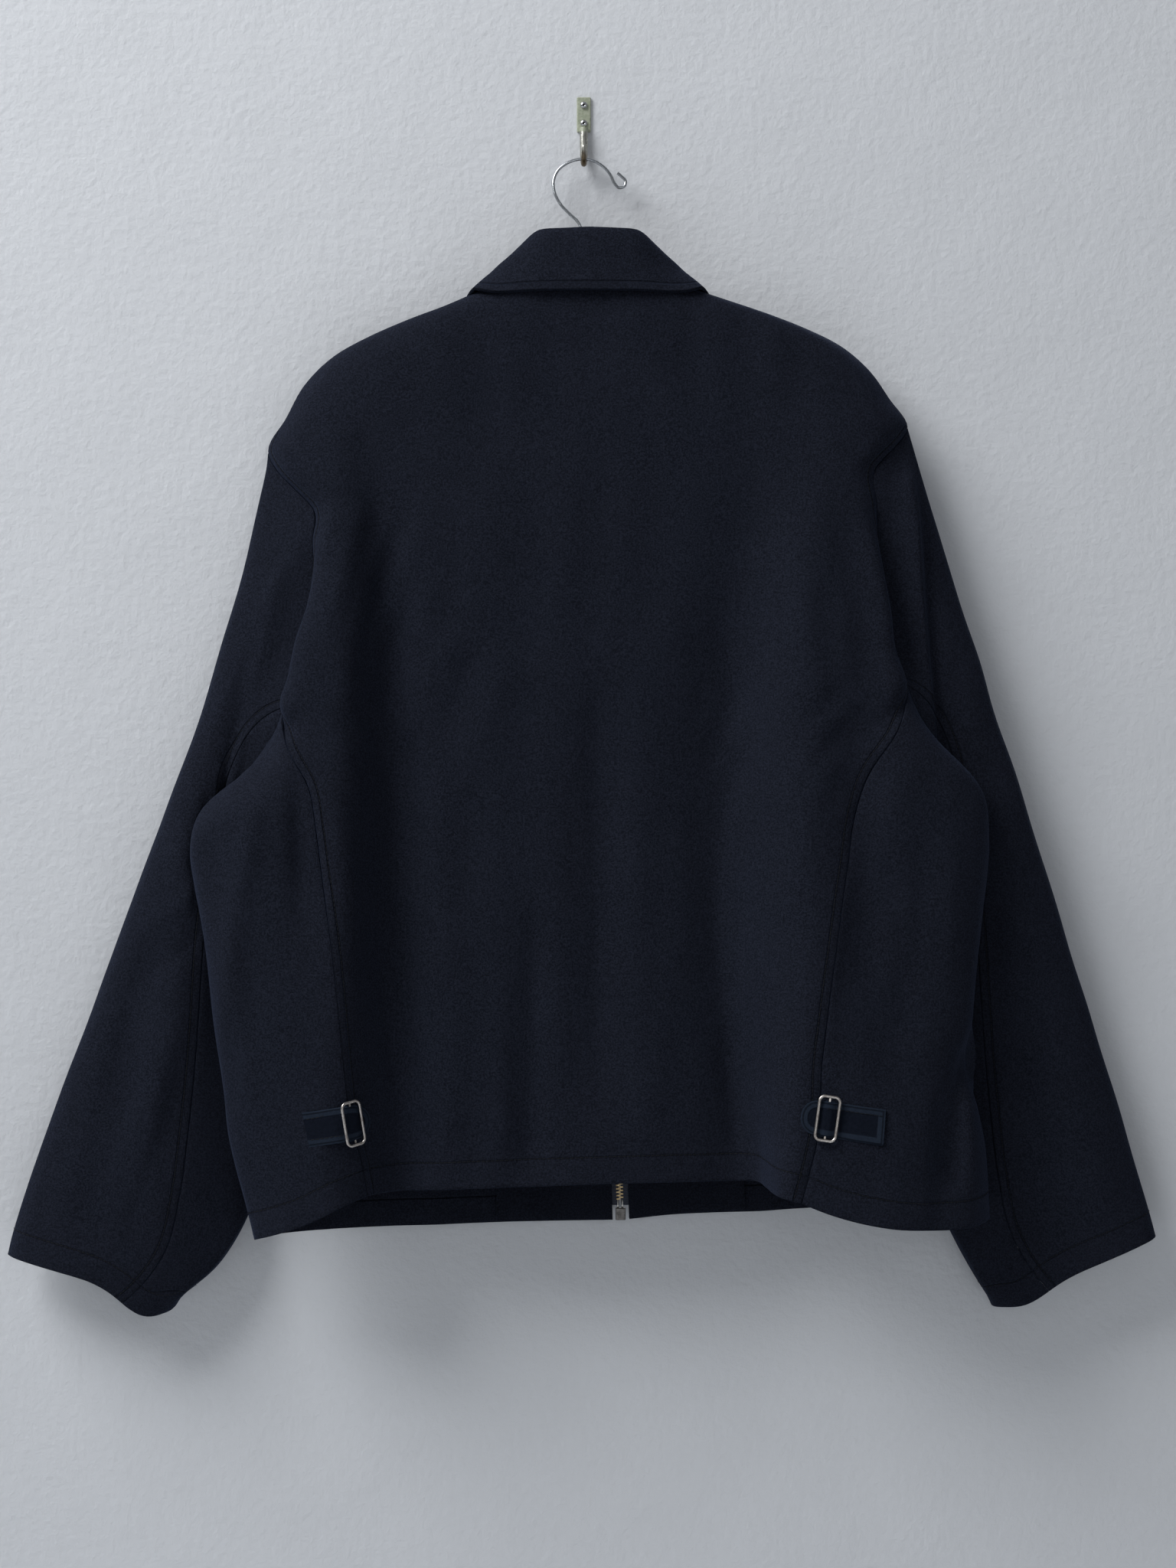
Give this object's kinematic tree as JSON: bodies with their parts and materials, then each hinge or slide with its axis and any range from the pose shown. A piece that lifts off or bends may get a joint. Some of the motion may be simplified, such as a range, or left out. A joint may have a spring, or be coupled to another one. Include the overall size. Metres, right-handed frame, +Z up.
{
  "type": "sports jacket on a wire-hook hanger and wall hook",
  "caption": "Zip-front wool jacket with a turn-down collar, long sleeves and hem adjuster straps, hung by a hanger on a small wall hook, its back outward.",
  "frame": {"origin": "middle of the wall hook plate's back face, where it meets the wall", "axes": "+Z up, +Y into the wall, +X to the right as seen from the room; the jacket's back faces -Y"},
  "size_m": [0.8406, 0.1188, 0.8968],
  "materials": {
    "navy_wool": "soft felted nap, matte",
    "facing_wool": "soft felted nap, matte",
    "strap_wool": "pressed wool with a paler stitched edge",
    "zip_tape": "fine twill tape",
    "zip_brass": "satin",
    "nickel": "polished, a little worn",
    "hanger_wood": "varnished",
    "chrome_wire": "polished",
    "hook_brass": "aged"
  },
  "bodies": {
    "jacket": {"back": "navy_wool", "side_panel_left": "navy_wool", "side_panel_right": "navy_wool", "front_left": "navy_wool", "front_right": "navy_wool", "facing_left": "facing_wool", "facing_right": "facing_wool", "collar": "navy_wool", "sleeve_upper_left": "navy_wool", "sleeve_upper_right": "navy_wool", "sleeve_under_left": "navy_wool", "sleeve_under_right": "navy_wool", "strap_left": "strap_wool", "strap_right": "strap_wool", "buckle_left": "nickel", "buckle_right": "nickel", "zip_tape_left": "zip_tape", "zip_tape_right": "zip_tape", "zip_slider": "zip_brass", "zip_box": "nickel", "hanger_bar": "hanger_wood", "hanger_wire": "chrome_wire", "wall_hook": "hook_brass", "screw_top": "chrome_wire", "screw_low": "chrome_wire"},
    "pull_tab": {"zip_pull": "zip_brass"}
  },
  "joints": [
    {"name": "pull_swing", "type": "hinge", "parent": "jacket", "child": "pull_tab", "pos_m": [0.00406, -0.01052, -0.234], "axis": [1, 0, 0], "range_deg": [0, 150]}
  ]
}
